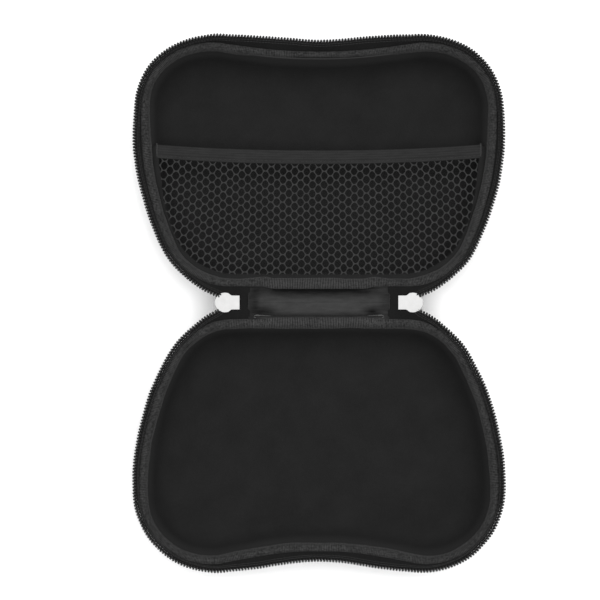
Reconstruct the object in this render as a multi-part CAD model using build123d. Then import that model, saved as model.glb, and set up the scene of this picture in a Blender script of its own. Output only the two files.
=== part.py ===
from build123d import *
import os
from math import cos, sin, tan, radians

# A zippered hard-shell carrying case, opened flat: two moulded half shells lie side by side
# with their open sides up, joined by a fabric spine.  Millimetres, +Z up.
# X runs along the hinge, +Y towards the lid half, Z = 0 is the surface the case lies on.
# The origin is under the middle of the spine.

# ---------------------------------------------------------------- driving dimensions
HINGE_HALF_GAP = 8.0        # from the hinge centre line to each half's rim
SHELL_HEIGHT = 32.0         # height of the moulded wall
DRAFT = 8.0                 # degrees that the wall leans inwards, going down
BOTTOM_RADIUS = 10.0        # outside radius between wall and underside
SHELL_THICK = 2.8           # laminated foam sheet with its outer fabric
LINING_THICK = 0.5
GLUE_GAP = 0.1              # film of glue between bonded sheets
FLOOR_REACH = 18.0          # how far in from the rim the wall's section runs before the flat floor

# Rim outline of one half, as seen from above: a straight back edge, then tangent arcs.
# The straight edge is as long as the arcs need to close.
BACK_CORNER = (32.4, 64.2)      # radius, degrees turned
SIDE_ARC = (148.0, 27.3)
FRONT_LOBE = (33.4, 102.0)
FRONT_WAIST = (196.0, 13.5)     # the shallow hollow between the lobes bends the other way

# Rim binding
BINDING_THICK = 0.8
BINDING_LEG = 4.5           # how far the binding reaches down the inside

# Coil zip
TAPE_THICK = 0.6
TAPE_SEAM = 3.0             # width of tape sewn onto the rim
TAPE_FREE = 5.7             # width of tape standing up from the rim
TAPE_LEAN = 81.0            # degrees from the horizontal
COIL_WIDTH = 3.4            # length of a coil loop across the tape
COIL_THICK = 2.0
COIL_PAST_TAPE = 1.2        # how far the coil's heads pass the edge of the tape
STANDING_FROM = 30.0        # degrees into the back corner where the zip starts to stand up

# Spine
SPINE_HALF_LENGTH = 34.1
SPINE_OUTER_HALF_WIDTH = 7.4
SPINE_LINING_HALF_WIDTH = 6.2
SPINE_THICK = 0.8
HINGE_Z = 33.2              # height of both fold axes
HINGE_LEG = 9.0             # height of hinge fabric bonded to each back wall

# Joined ends of the zip, one at each side of the spine
CHAIN_START = SPINE_HALF_LENGTH + 0.3
CHAIN_END = 50.0
CHAIN_HALF_WIDTH = 3.1
POST_HALF_WIDTH = 1.0
FORK_END = (56.0, 5.0)      # where each zip half parts from the spine

# Sliders
SLIDER_TAIL_X = 38.4
SLIDER_NECK_X = 41.7
SLIDER_SHOULDER_X = 44.6
SLIDER_NOSE_X = 50.2
SLIDER_TAIL_HALF = 3.35
SLIDER_HALF_WIDTH = 4.65
PLATE_THICK = 1.2
CLEARANCE = 0.35            # around everything that slides

# Pull tabs
PULL_X = 44.0
PULL_LENGTH = 24.0
PULL_WIDTH = 7.0
PULL_THICK = 1.6
PULL_WINDOW = 4.9           # from the pull's axis to the end of its window
BRIDGE_HALF_LENGTH = 3.5
BRIDGE_HALF_WIDTH = 1.1
BRIDGE_THICK = 1.0
PIN_RADIUS = 0.7

# Mesh pocket in the lid
POCKET_BACK_Z = 29.0        # height of the net beside the hinge
POCKET_FRONT_Z = 23.0       # height of the net at its elastic edge
POCKET_INSET = 5.6          # from the rim outline to the pocket's outer edge
EDGE_TAPE_WIDTH = 5.0
NET_THICK = 0.7
HEM_FRONT_Y = 73.6
HEM_WIDTH = 6.2
HEM_THICK = 1.6

# ---------------------------------------------------------------- rim outline
# Every half is drawn as the lid: x to the right, y away from the hinge.


def outline_runs():
    """Each run of the right half of the outline: start, heading in degrees, radius, turn, length."""
    bends = [BACK_CORNER, SIDE_ARC, FRONT_LOBE, (FRONT_WAIST[0], -FRONT_WAIST[1])]
    back_half_length, heading = 0.0, 0.0
    for radius, turn in bends:
        side = 1 if turn > 0 else -1
        back_half_length -= side * radius * (sin(radians(heading + turn)) - sin(radians(heading)))
        heading += turn
    runs = [((0.0, HINGE_HALF_GAP), 0.0, None, 0.0, back_half_length)]
    point, heading = (back_half_length, HINGE_HALF_GAP), 0.0
    for radius, turn in bends:
        runs.append((point, heading, radius, turn, 0.0))
        side = 1 if turn > 0 else -1
        centre = bend_centre(point, heading, radius, side)
        heading += turn
        out = outward(heading)
        point = (centre[0] + side * radius * out[0], centre[1] + side * radius * out[1])
    return runs


def outward(heading):
    """Direction out of the half, square to a heading."""
    return (sin(radians(heading)), -cos(radians(heading)))


def bend_centre(point, heading, radius, side):
    out = outward(heading)
    return (point[0] - side * radius * out[0], point[1] - side * radius * out[1])


def shifted(point, heading, offset):
    out = outward(heading)
    return (point[0] + offset * out[0], point[1] + offset * out[1])


def outline_face(offset):
    """The whole outline of one half, moved outwards by offset."""
    edges = []
    for point, heading, radius, turn, length in outline_runs():
        first = shifted(point, heading, offset)
        if radius is None:
            edges.append(Line(first, (first[0] + length, first[1])))
            continue
        side = 1 if turn > 0 else -1
        centre = bend_centre(point, heading, radius, side)
        reach = side * radius + offset
        middle = shifted(centre, heading + turn / 2, reach)
        last = shifted(centre, heading + turn, reach)
        edges.append(ThreePointArc(first, middle, last))
    edges += [mirror(edge, about=Plane.YZ) for edge in edges]
    return make_face(edges)


def around_rim(section, skip_corner=0.0):
    """Carry a section round the outline: its x is the distance out from the rim, its y is height.
    skip_corner leaves out the back edge and that many degrees of the back corner."""
    solids = []
    for index, (point, heading, radius, turn, length) in enumerate(outline_runs()):
        if radius is None:
            if skip_corner == 0.0:
                solids.append(extrude(placed(section, point, heading), amount=length, dir=(1, 0, 0)))
            continue
        side = 1 if turn > 0 else -1
        centre = bend_centre(point, heading, radius, side)
        if index == 1 and skip_corner:
            heading, turn = heading + skip_corner, turn - skip_corner
            point = shifted(centre, heading, radius)
        axis = Axis((centre[0], centre[1], 0), (0, 0, side))
        solids.append(revolve(placed(section, point, heading), axis, abs(turn)))
    right = solids[0].fuse(*solids[1:])
    if skip_corner:
        return right + mirror(right, about=Plane.YZ)
    return right.fuse(mirror(right, about=Plane.YZ))


def placed(section, point, heading):
    out = outward(heading)
    plane = Plane(origin=(point[0], point[1], 0), x_dir=(out[0], out[1], 0),
                  z_dir=(out[1], -out[0], 0))
    return plane * section


def slab(offset, low, high):
    """The outline moved by offset, from one height to another."""
    return extrude(Pos(0, 0, low) * outline_face(offset), amount=high - low, dir=(0, 0, 1))


# ---------------------------------------------------------------- moulded shells and linings


def wall_in(depth):
    """How far in the drafted wall's surface is, that far below the rim."""
    return depth * tan(radians(DRAFT))


def skin_section(inside, thick):
    """Section of a sheet that follows the mould, its outer face `inside` deep in the wall."""
    flat = 1 / cos(radians(DRAFT))

    def corner_path(depth):
        radius = max(BOTTOM_RADIUS - depth, 1.0)
        foot = -wall_in(SHELL_HEIGHT - depth) - depth * flat
        return FilletPolyline((-depth * flat, SHELL_HEIGHT), (foot, depth),
                              (-FLOOR_REACH, depth), radius=radius)

    outer, inner = corner_path(inside), corner_path(inside + thick)
    return make_face([outer, inner, Line(outer @ 0, inner @ 0), Line(outer @ 1, inner @ 1)])


def skin(inside, thick):
    wall = around_rim(skin_section(inside, thick))
    return wall.fuse(slab(-FLOOR_REACH, inside, inside + thick))


def shell():
    return skin(0, SHELL_THICK)


def lining():
    return skin(SHELL_THICK + GLUE_GAP, LINING_THICK)


# ---------------------------------------------------------------- rim binding and zip


def binding():
    """Ribbed binding over the top of the wall and a short way down its inside."""
    top = SHELL_HEIGHT + TAPE_THICK + 3 * GLUE_GAP
    inner = (SHELL_THICK + LINING_THICK + 2 * GLUE_GAP) / cos(radians(DRAFT))
    low = SHELL_HEIGHT - BINDING_LEG
    lean = wall_in(BINDING_LEG)
    section = make_face(Polyline(
        (0, top), (0, top + BINDING_THICK), (-inner - BINDING_THICK, top + BINDING_THICK),
        (-inner - BINDING_THICK - lean, low), (-inner - lean, low), (-inner, SHELL_HEIGHT),
        (-inner, top), close=True))
    return around_rim(section)


def tape_seam():
    """The part of the zip tape that is sewn flat on the rim, all the way round."""
    low = SHELL_HEIGHT + GLUE_GAP
    section = make_face(Polyline((0, low), (0, low + TAPE_THICK), (-TAPE_SEAM, low + TAPE_THICK),
                                 (-TAPE_SEAM, low), close=True))
    return around_rim(section)


def lean_point(along, out):
    """A point on the standing tape: along its width, and out from its outer face."""
    rise, run = sin(radians(TAPE_LEAN)), cos(radians(TAPE_LEAN))
    return (TAPE_THICK + along * run + out * rise,
            SHELL_HEIGHT + GLUE_GAP + along * rise - out * run)


def zip_tape():
    foot = SHELL_HEIGHT + GLUE_GAP
    standing = make_face(Polyline(
        (-TAPE_SEAM, foot), (TAPE_THICK, foot), lean_point(TAPE_FREE, 0),
        lean_point(TAPE_FREE, -TAPE_THICK), (0.05, foot + TAPE_THICK),
        (-TAPE_SEAM, foot + TAPE_THICK), close=True))
    return tape_seam() + around_rim(standing, skip_corner=STANDING_FROM)


def zip_coil():
    """The coil's envelope: a band on the tape's outer face, its heads past the tape's edge."""
    low, high = TAPE_FREE + COIL_PAST_TAPE - COIL_WIDTH, TAPE_FREE + COIL_PAST_TAPE
    face, out = 0.05, COIL_THICK
    section = make_face(Polyline(lean_point(low, face), lean_point(low, out),
                                 lean_point(high, out), lean_point(high, face), close=True))
    return around_rim(section, skip_corner=STANDING_FROM)


def hinge_leg():
    """Hinge fabric bonded to the outside of the back wall."""
    top = SHELL_HEIGHT - 0.6
    low = top - HINGE_LEG
    wall_y = HINGE_HALF_GAP - GLUE_GAP
    points = [(wall_y + wall_in(SHELL_HEIGHT - top), top), (wall_y + wall_in(SHELL_HEIGHT - low), low)]
    points += [(points[1][0] - SPINE_THICK, low), (points[0][0] - SPINE_THICK, top)]
    section = make_face(Polyline(*[(-SPINE_HALF_LENGTH, y, z) for y, z in points], close=True))
    return extrude(section, amount=2 * SPINE_HALF_LENGTH, dir=(1, 0, 0))


# ---------------------------------------------------------------- mesh pocket


def pocket_slab(thick, lift=0.0):
    """A slanted sheet through the pocket's plane, longer and wider than the pocket."""
    start = HINGE_HALF_GAP + POCKET_INSET
    slope = (POCKET_FRONT_Z - POCKET_BACK_Z) / (HEM_FRONT_Y - start)
    far = HEM_FRONT_Y + 20
    low_far = POCKET_BACK_Z + slope * (far - start) + lift
    low_near = POCKET_BACK_Z - slope * start + lift
    profile = make_face(Polyline((-120, 0, low_near), (-120, far, low_far),
                                 (-120, far, low_far + thick), (-120, 0, low_near + thick),
                                 close=True))
    return extrude(profile, amount=240, dir=(1, 0, 0))


def strip_between(y_low, y_high):
    return Pos(0, (y_low + y_high) / 2, 20) * Box(240, y_high - y_low, 60)


def pocket_net():
    inside = slab(-POCKET_INSET - EDGE_TAPE_WIDTH - GLUE_GAP, 0, SHELL_HEIGHT)
    return pocket_slab(NET_THICK) & inside & strip_between(0, HEM_FRONT_Y - HEM_WIDTH - GLUE_GAP)


def pocket_edge_tape():
    ring = slab(-POCKET_INSET, 0, SHELL_HEIGHT) - slab(-POCKET_INSET - EDGE_TAPE_WIDTH, -1, SHELL_HEIGHT + 1)
    return pocket_slab(NET_THICK) & ring & strip_between(0, HEM_FRONT_Y - HEM_WIDTH - GLUE_GAP)


def pocket_hem():
    inside = slab(-POCKET_INSET, 0, SHELL_HEIGHT)
    lift = (NET_THICK - HEM_THICK) / 2
    return pocket_slab(HEM_THICK, lift) & inside & strip_between(HEM_FRONT_Y - HEM_WIDTH, HEM_FRONT_Y)


# ---------------------------------------------------------------- spine and zip ends


def spine_outer_strip():
    top = SHELL_HEIGHT + 0.3
    return Pos(0, 0, top - SPINE_THICK / 2) * Box(2 * SPINE_HALF_LENGTH, 2 * SPINE_OUTER_HALF_WIDTH,
                                                  SPINE_THICK)


def spine_lining():
    return Pos(0, 0, HINGE_Z - SPINE_THICK / 2) * Box(2 * SPINE_HALF_LENGTH,
                                                      2 * SPINE_LINING_HALF_WIDTH, SPINE_THICK)


def zip_end_tape(side):
    """Flat end of one zip tape, right-hand end; side is +1 for the lid's tape, -1 for the base's."""
    fork_x, fork_y = FORK_END
    edge = SPINE_OUTER_HALF_WIDTH
    inner = POST_HALF_WIDTH + CLEARANCE
    points = [(CHAIN_START, inner), (CHAIN_END, inner), (fork_x, fork_y), (fork_x, edge),
              (CHAIN_START, edge)]
    face = make_face(Polyline(*[(x, side * y) for x, y in points], close=True))
    return extrude(Pos(0, 0, SHELL_HEIGHT + GLUE_GAP) * face, amount=TAPE_THICK, dir=(0, 0, 1))


def zip_end_coil(side):
    """Coil on the underside of the flat tape end, straight through the slider, then forking."""
    fork_x, fork_y = FORK_END
    inner, outer = POST_HALF_WIDTH + CLEARANCE, CHAIN_HALF_WIDTH
    points = [(CHAIN_START, inner), (CHAIN_END + 0.4, inner), (fork_x, fork_y - 0.4),
              (fork_x - 0.9, fork_y + 1.2), (CHAIN_END - 0.2, outer), (CHAIN_START, outer)]
    face = make_face(Polyline(*[(x, side * y) for x, y in points], close=True))
    return extrude(Pos(0, 0, SHELL_HEIGHT + 0.05) * face, amount=COIL_THICK, dir=(0, 0, -1))


# ---------------------------------------------------------------- sliders and pulls


def slider_plate(low):
    """Plate with a narrow square tail, hollow necks, full shoulders and a round nose."""
    tail = [Line((SLIDER_TAIL_X, side * SLIDER_TAIL_HALF), (SLIDER_NECK_X, side * SLIDER_TAIL_HALF))
            for side in (1, -1)]
    neck = [Spline((SLIDER_NECK_X, side * SLIDER_TAIL_HALF), (SLIDER_SHOULDER_X, side * SLIDER_HALF_WIDTH),
                   tangents=[(1, 0), (1, 0)]) for side in (1, -1)]
    nose = ThreePointArc((SLIDER_SHOULDER_X, SLIDER_HALF_WIDTH), (SLIDER_NOSE_X, 0),
                         (SLIDER_SHOULDER_X, -SLIDER_HALF_WIDTH))
    back = Line((SLIDER_TAIL_X, SLIDER_TAIL_HALF), (SLIDER_TAIL_X, -SLIDER_TAIL_HALF))
    return extrude(Pos(0, 0, low) * make_face([*tail, *neck, nose, back]), amount=PLATE_THICK, dir=(0, 0, 1))


def slider_body():
    """One casting: inner plate, centre post, outer plate with side flanges, and the pull's bridge."""
    inner_low = SHELL_HEIGHT + GLUE_GAP + TAPE_THICK + CLEARANCE
    outer_top = SHELL_HEIGHT - COIL_THICK - CLEARANCE
    outer_low = outer_top - PLATE_THICK
    middle_x = (SLIDER_TAIL_X + SLIDER_NOSE_X) / 2
    length = SLIDER_NOSE_X - SLIDER_TAIL_X
    plate = Pos(middle_x, 0, outer_top - PLATE_THICK / 2) * Box(length, 2 * SLIDER_HALF_WIDTH, PLATE_THICK)
    plate = fillet(plate.edges().filter_by(Axis.Z), 1.5)
    post = Pos(SLIDER_NOSE_X - 2.2, 0, (outer_top + inner_low) / 2) * Box(
        2.4, 2 * POST_HALF_WIDTH, inner_low - outer_top + 0.4)
    body = slider_plate(inner_low) + plate + post
    flange_height = SHELL_HEIGHT - CLEARANCE - outer_top
    flange_thick = SLIDER_HALF_WIDTH - CHAIN_HALF_WIDTH - CLEARANCE
    for side in (1, -1):
        centre_y = side * (SLIDER_HALF_WIDTH - flange_thick / 2)
        body += Pos(middle_x - 1.5, centre_y, outer_top + flange_height / 2 - 0.1) * Box(
            length - 6, flange_thick, flange_height)
    return body + bridge(outer_low)


def bridge(plate_low):
    """Arch under the outer plate that holds the pull's pin."""
    height = 2 * (PIN_RADIUS + 0.3) + BRIDGE_THICK
    arch = Pos(PULL_X, 0, plate_low - height / 2 + 0.1) * Box(
        2 * BRIDGE_HALF_LENGTH, 2 * BRIDGE_HALF_WIDTH, height + 0.2)
    arch = fillet(arch.edges().filter_by(Axis.Y).group_by(Axis.Z)[0], 0.9)
    hole = Pos(PULL_X, 0, plate_low - PIN_RADIUS - 0.3) * Box(
        2 * (BRIDGE_HALF_LENGTH - BRIDGE_THICK), 4 * BRIDGE_HALF_WIDTH, 2 * (PIN_RADIUS + 0.3))
    return arch - hole


def pull_axis_z():
    return SHELL_HEIGHT - COIL_THICK - CLEARANCE - PLATE_THICK - PIN_RADIUS - 0.3


def pull_tab():
    """Flat pull hanging from the bridge, with a window round the bridge and a pin through it."""
    axis_z = pull_axis_z()
    top, low = axis_z + PULL_THICK / 2, axis_z - PULL_LENGTH + PULL_THICK / 2
    blade = Pos(PULL_X, 0, (top + low) / 2) * Box(PULL_THICK, PULL_WIDTH, top - low)
    blade = fillet(blade.edges().filter_by(Axis.X).group_by(Axis.Z)[0], 3.0)
    blade = fillet(blade.edges().filter_by(Axis.Y).group_by(Axis.Z)[-1], 0.78)
    window_half = BRIDGE_HALF_WIDTH + CLEARANCE
    window = Pos(PULL_X, 0, axis_z - PULL_WINDOW / 2) * Box(4, 2 * window_half, PULL_WINDOW)
    above = Pos(PULL_X, 0, axis_z + 1) * Box(4, 2 * window_half, 2)
    pin = Pos(PULL_X, 0, axis_z) * Rot(90, 0, 0) * Cylinder(PIN_RADIUS, PULL_WIDTH - 2)
    return blade - window - above + pin


# ---------------------------------------------------------------- bar tacks


def bar_tack():
    """Thread bar across the base's binding, near the right end of the spine."""
    z = SHELL_HEIGHT + TAPE_THICK + 3 * GLUE_GAP + BINDING_THICK + GLUE_GAP
    return Pos(29.5, -HINGE_HALF_GAP - 1.9, z + 0.2) * Box(4.4, 2.4, 0.4)


# ---------------------------------------------------------------- assembly


def make_parts():
    halves = {"shell": shell(), "lining": lining(), "rim_binding": binding(), "zip_tape": zip_tape(),
              "zip_coil": zip_coil(), "hinge_leg": hinge_leg()}
    nodes = {}
    for name, solid in halves.items():
        nodes["lid_" + name] = solid
        nodes["base_" + name] = mirror(solid, about=Plane.XZ)
    nodes["pocket_net"] = pocket_net()
    nodes["pocket_edge_tape"] = pocket_edge_tape()
    nodes["pocket_hem"] = pocket_hem()
    nodes["spine_outer_strip"] = spine_outer_strip()
    nodes["spine_lining"] = spine_lining()
    right_side = {"zip_end_tape_lid": zip_end_tape(1), "zip_end_tape_base": zip_end_tape(-1),
                  "zip_end_coil_lid": zip_end_coil(1), "zip_end_coil_base": zip_end_coil(-1),
                  "slider": slider_body(), "pull_tab": pull_tab(), "bar_tack": bar_tack()}
    for name, solid in right_side.items():
        nodes["right_" + name] = solid
        nodes["left_" + name] = mirror(solid, about=Plane.YZ)
    return nodes


os.makedirs("parts", exist_ok=True)
for node_name, node_shape in make_parts().items():
    export_step(node_shape, f"parts/{node_name}.step")
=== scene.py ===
from functools import reduce
from math import atan2, cos, pi, radians, sin, tan

import bpy
import numpy as np
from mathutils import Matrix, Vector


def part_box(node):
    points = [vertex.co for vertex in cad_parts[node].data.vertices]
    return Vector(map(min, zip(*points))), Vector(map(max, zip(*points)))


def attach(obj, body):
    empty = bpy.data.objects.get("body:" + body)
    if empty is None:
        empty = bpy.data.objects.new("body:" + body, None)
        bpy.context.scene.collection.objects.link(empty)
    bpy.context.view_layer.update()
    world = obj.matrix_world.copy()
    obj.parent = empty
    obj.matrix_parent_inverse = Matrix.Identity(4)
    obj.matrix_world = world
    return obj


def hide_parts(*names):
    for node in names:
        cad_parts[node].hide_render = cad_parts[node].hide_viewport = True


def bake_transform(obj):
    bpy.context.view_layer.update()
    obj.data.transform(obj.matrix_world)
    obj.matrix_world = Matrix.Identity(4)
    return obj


# Looks of a zippered hard-shell case that lies open, both halves facing up.
# Everything is in metres in the CAD frame: +X along the hinge, +Y towards the lid, +Z up.

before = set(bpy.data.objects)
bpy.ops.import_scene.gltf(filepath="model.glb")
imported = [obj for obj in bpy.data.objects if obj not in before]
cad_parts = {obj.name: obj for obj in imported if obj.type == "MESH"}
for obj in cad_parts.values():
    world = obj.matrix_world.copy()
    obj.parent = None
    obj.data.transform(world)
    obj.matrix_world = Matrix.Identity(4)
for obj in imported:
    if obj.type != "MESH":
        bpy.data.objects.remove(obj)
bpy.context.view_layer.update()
MM = 0.001
BASE, LID = -1, 1               # the sign of y in each half
HALF_NAME = {BASE: "base", LID: "lid"}

# ---- sizes from the frame

SHELL_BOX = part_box("lid_shell")
HALF_GAP = SHELL_BOX[0].y
RIM_Z = SHELL_BOX[1].z
TAPE_Z = (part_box("right_zip_end_tape_lid")[0].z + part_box("right_zip_end_tape_lid")[1].z) / 2
COIL_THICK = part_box("right_zip_end_coil_lid")[1].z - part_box("right_zip_end_coil_lid")[0].z
SPINE_HALF_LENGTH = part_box("spine_lining")[1].x
HEM_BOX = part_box("pocket_hem")
NET_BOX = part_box("pocket_edge_tape")
SLIDER_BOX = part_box("right_slider")

# ---- rim outline
# The outline of one half, as seen from above: a straight back edge and tangent arcs.

BENDS = [(32.4 * MM, 64.2), (148.0 * MM, 27.3), (33.4 * MM, 102.0), (196.0 * MM, -13.5)]
DRAFT = radians(8.0)
BOTTOM_RADIUS = 10.0 * MM
SHELL_THICK = 2.8 * MM
RIB_PITCH = 0.8 * MM


class Run:
    """One straight or round stretch of the outline."""

    def __init__(self, start, heading, radius, length):
        self.start, self.heading, self.radius, self.length = start, heading, radius, length


def outwards_of(heading):
    """Unit normal on the outer side of a line that runs at this heading, in radians."""
    return np.array([sin(heading), -cos(heading)])


def outline_runs():
    """The back edge and the arcs of the right-hand side, the back just long enough that they end on x = 0."""
    signed = [(radius if turn > 0 else -radius, radians(turn)) for radius, turn in BENDS]
    heading, arcs, point = 0.0, [], np.zeros(2)
    for radius, turn in signed:
        arcs.append((point, heading, radius, abs(turn * radius)))
        point = point + radius * (outwards_of(heading + turn) - outwards_of(heading))
        heading += turn
    corner = np.array([-point[0], HALF_GAP])
    back = Run(np.array([0.0, HALF_GAP]), 0.0, None, corner[0])
    return [back] + [Run(corner + start, *others) for start, *others in arcs]


RUNS = outline_runs()
HALF_LENGTH = sum(run.length for run in RUNS)
FULL_LENGTH = 2 * HALF_LENGTH
BACK_LENGTH = RUNS[0].length        # from the middle of the straight back edge to its end


def rim_at(distance):
    """Points and outward normals of the outline, by distance along it from the middle of the back."""
    s = np.mod(np.asarray(distance, float), FULL_LENGTH)
    left = s > HALF_LENGTH
    s = np.where(left, FULL_LENGTH - s, s)
    point, normal = np.zeros((len(s), 2)), np.zeros((len(s), 2))
    begin = 0.0
    for index, run in enumerate(RUNS):
        end = begin + run.length
        last = index == len(RUNS) - 1
        inside = (s >= begin - 1e-12) & ((s <= end + 1e-9) if last else (s < end))
        along = s[inside] - begin
        if run.radius is None:
            point[inside] = np.stack([run.start[0] + along, np.full(len(along), run.start[1])], 1)
            normal[inside] = (0.0, -1.0)
        else:
            angle = run.heading + along / run.radius
            out = np.stack([np.sin(angle), -np.cos(angle)], 1)
            centre = run.start - run.radius * outwards_of(run.heading)
            point[inside] = centre + run.radius * out
            normal[inside] = out
        begin = end
    point[left, 0] *= -1
    normal[left, 0] *= -1
    return point, normal


def from_back(s):
    """Distance from the middle of the back, the same on both sides."""
    s = np.mod(np.asarray(s, float), FULL_LENGTH)
    return np.minimum(s, FULL_LENGTH - s)


def ripple(s, sizes, seed):
    """Slow, repeatable unevenness along the outline: a few whole waves round the loop."""
    draw = np.random.default_rng(seed)
    total = np.zeros_like(np.asarray(s, float))
    for waves, size in sizes:
        total = total + size * np.sin(2 * pi * waves * s / FULL_LENGTH + draw.uniform(0, 2 * pi))
    return total


def ease(value, low, high):
    """0 before low, 1 after high, smooth between."""
    t = np.clip((np.asarray(value, float) - low) / (high - low), 0, 1)
    return t * t * (3 - 2 * t)


# ---- mesh building


def new_mesh(name, points, faces, material=None, cloth=None, smooth=True):
    """A mesh object. cloth gives each point (u, v) in metres for the weave, and maybe a third value."""
    mesh = bpy.data.meshes.new(name)
    points = np.reshape(points, (-1, 3))
    mesh.from_pydata([tuple(p) for p in points], [], [tuple(f) for f in faces])
    if cloth is not None:
        attribute = mesh.attributes.new("cloth", "FLOAT_VECTOR", "POINT")
        flat = np.zeros((len(points), 3), np.float32)
        flat[:, :np.shape(cloth)[-1]] = np.reshape(cloth, (len(points), -1))
        attribute.data.foreach_set("vector", flat.ravel())
    mesh.update()
    if smooth:
        mesh.shade_smooth()
    piece = bpy.data.objects.new(name, mesh)
    bpy.context.scene.collection.objects.link(piece)
    if material is not None:
        mesh.materials.append(material)
    return piece


def thicken(piece, thick, offset=0.0, even=False):
    solid = piece.modifiers.new("thickness", "SOLIDIFY")
    solid.thickness, solid.offset, solid.use_even_offset = thick, offset, even
    return piece


def grid_faces(rows, columns, close_rows=False, close_columns=False, flip=False):
    """Quads of a grid of points stored row by row."""
    faces = []
    for i in range(rows if close_rows else rows - 1):
        for j in range(columns if close_columns else columns - 1):
            a, b = i * columns + j, i * columns + (j + 1) % columns
            c, d = ((i + 1) % rows) * columns + (j + 1) % columns, ((i + 1) % rows) * columns + j
            faces.append((a, d, c, b) if flip else (a, b, c, d))
    return faces


def hump(s, centre, reach):
    """1 at a distance from the middle of the back, falling smoothly to 0 at both sides."""
    return np.exp(-((from_back(s) - centre) / reach) ** 2)


def relax(side, s):
    """How far each soft half stands out of the mould's outline where it has relaxed."""
    if side == LID:
        mm = 1.0 * hump(s, 80 * MM, 22 * MM) - 0.65 * hump(s, 140 * MM, 20 * MM)
        return (mm - 1.2 * hump(s, 196 * MM, 20 * MM) + 0.5 * hump(s, HALF_LENGTH, 22 * MM)) * MM
    mm = -1.1 * hump(s, 68 * MM, 22 * MM) + 0.45 * hump(s, 140 * MM, 24 * MM)
    return (mm - 0.45 * hump(s, 190 * MM, 18 * MM) - 0.5 * hump(s, HALF_LENGTH - 12 * MM, 16 * MM)) * MM


def relaxed_rim(side, s):
    point, normal = rim_at(s)
    return point + normal * relax(side, s)[:, None], normal


def place(side, s, out, high):
    """Points of one half from distances along the rim, distances out from it, and heights."""
    point, normal = relaxed_rim(side, s)
    x = point[:, None, 0] + out * normal[:, None, 0]
    d = point[:, None, 1] + out * normal[:, None, 1]
    return np.stack([x, side * d, high], 2)


def thick_section(out, high, thick):
    """Closed section of a strip: its mid line moved both ways. out and high are (stations, points)."""
    line = np.stack([out, high], 2)
    step = np.gradient(line, axis=1)
    step /= np.linalg.norm(step, axis=2, keepdims=True)
    across = np.stack([-step[:, :, 1], step[:, :, 0]], 2)
    over, under = line + across * thick / 2, line - across * thick / 2
    loop = np.concatenate([over, under[:, ::-1]], 1)
    return loop[:, :, 0], loop[:, :, 1]


def ring_piece(name, side, s, out, high, material, closed_ring=True, along=None, depth=0.0):
    """A band that follows the rim, from its closed section at every station."""
    points = place(side, s, out, high)
    rows, columns = points.shape[:2]
    steps = np.linalg.norm(np.diff(np.stack([out, high], 2), axis=1), axis=2)
    across = np.concatenate([np.zeros((rows, 1)), np.cumsum(steps, axis=1)], 1)
    along = np.repeat(s[:, None], columns, 1) if along is None else along
    cloth = np.stack([along, across, np.broadcast_to(depth, (rows, columns))], 2)
    faces = grid_faces(rows, columns, closed_ring, True, flip=side == LID)
    if not closed_ring:
        first, last = list(range(columns)), list(range((rows - 1) * columns, rows * columns))
        faces += [first[::-1], last] if side == BASE else [first, last[::-1]]
    return new_mesh(name, points, faces, material, cloth)


def smooth_path(points, per_span):
    """Catmull-Rom points through a few given ones."""
    p = np.array([points[0], *points, points[-1]], float)
    found = []
    for i in range(1, len(p) - 2):
        for t in np.linspace(0, 1, per_span, endpoint=False):
            a, b, c, d = p[i - 1:i + 3]
            found.append(0.5 * (2 * b + (c - a) * t + (2 * a - 5 * b + 4 * c - d) * t ** 2
                                + (3 * b - a - 3 * c + d) * t ** 3))
    found.append(p[-2])
    return np.array(found)


def tube_points(path, radius, sides, up=(0, 0, 1)):
    """Rings of points round a path. radius is one number or one for each path point."""
    path = np.asarray(path, float)
    step = np.gradient(path, axis=0)
    step /= np.linalg.norm(step, axis=1, keepdims=True)
    first = np.cross(step, np.asarray(up, float))
    weak = np.linalg.norm(first, axis=1) < 1e-3
    first[weak] = np.cross(step[weak], (1.0, 0.0, 0.0))
    first /= np.linalg.norm(first, axis=1, keepdims=True)
    second = np.cross(step, first)
    radius = np.broadcast_to(radius, len(path))[:, None, None]
    turn = np.linspace(0, 2 * pi, sides, endpoint=False)
    ring = np.cos(turn)[None, :, None] * first[:, None] + np.sin(turn)[None, :, None] * second[:, None]
    return path[:, None] + radius * ring


class Bundle:
    """Collects many small closed shapes into one mesh."""

    def __init__(self):
        self.points, self.faces, self.count = [], [], 0

    def add(self, points, faces):
        self.points.append(np.asarray(points).reshape(-1, 3))
        self.faces += [tuple(i + self.count for i in face) for face in faces]
        self.count += len(self.points[-1])

    def add_tube(self, path, radius, sides, up=(0, 0, 1)):
        rings = tube_points(path, radius, sides, up)
        faces = grid_faces(len(rings), sides, close_columns=True)
        last = (len(rings) - 1) * sides
        faces += [tuple(range(sides))[::-1], tuple(range(last, last + sides))]
        self.add(rings, faces)

    def piece(self, name, material, flat_cloth=False):
        points = np.concatenate(self.points)
        return new_mesh(name, points, self.faces, material, points[:, :2] if flat_cloth else None)


def fit(piece, slot, body, *nodes):
    """Hide the CAD nodes a piece stands for, and attach it to its body or, by a half's sign, bake its
    transform; slot, the name of its finish, is not used.
    """
    if nodes:
        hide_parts(*nodes)
    if isinstance(body, str):
        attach(piece, body)
    else:
        bend_at_fold(piece, body)


def bend_at_fold(piece, side):
    """Bake the piece's placement into its mesh, the same for both halves; nothing is bent at the fold."""
    if side == BASE:
        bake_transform(piece)
    else:
        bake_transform(piece)


# ---- material building


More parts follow.
